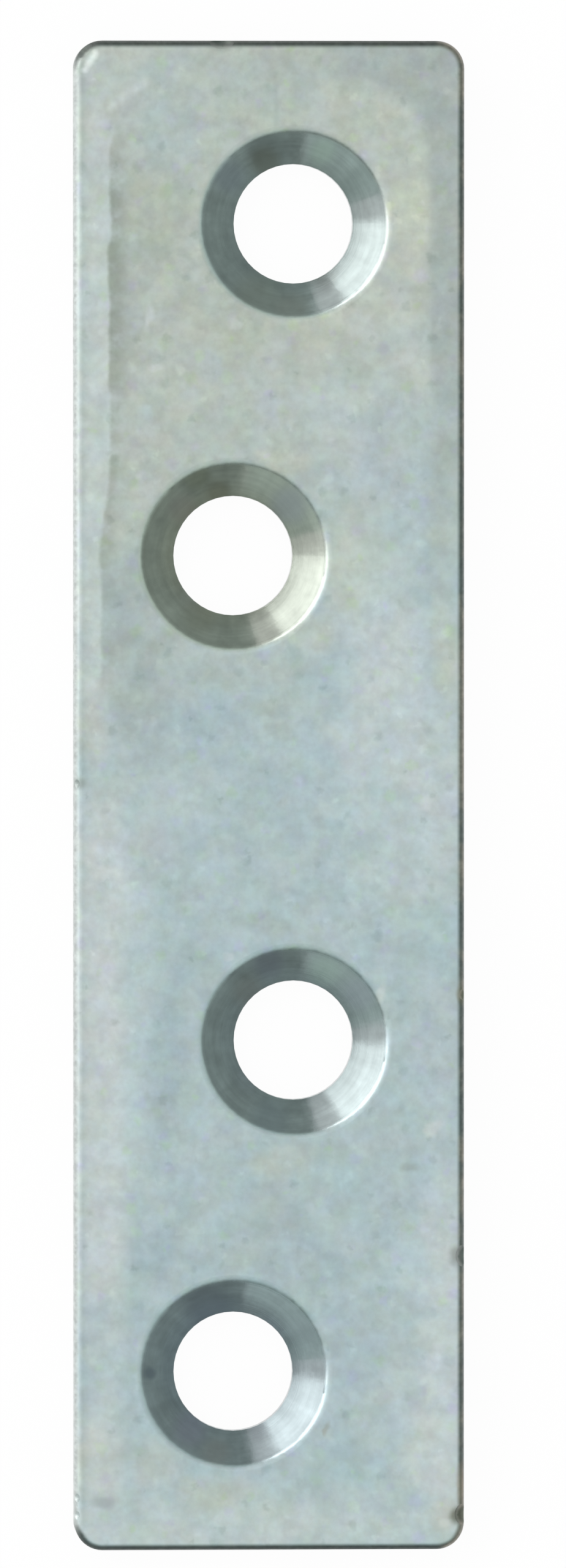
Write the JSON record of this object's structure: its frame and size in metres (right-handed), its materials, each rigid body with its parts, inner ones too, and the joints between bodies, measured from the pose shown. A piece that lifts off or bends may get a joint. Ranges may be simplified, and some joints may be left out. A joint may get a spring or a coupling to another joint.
{
  "type": "mending plate",
  "caption": "Flat zinc-plated steel strip with rounded corners and staggered countersunk screw holes, for joining two pieces of wood end to end or edge to edge.",
  "frame": {"origin": "centre of the back face, which lies against the work", "axes": "+Y along the strip, +X across it, +Z out of the countersunk front face"},
  "size_m": [0.0154, 0.06, 0.002],
  "materials": {
    "zinc_plated_steel": "dull zinc plate, tumbled"
  },
  "bodies": {
    "root": {"mending_plate": "zinc_plated_steel"}
  },
  "joints": []
}
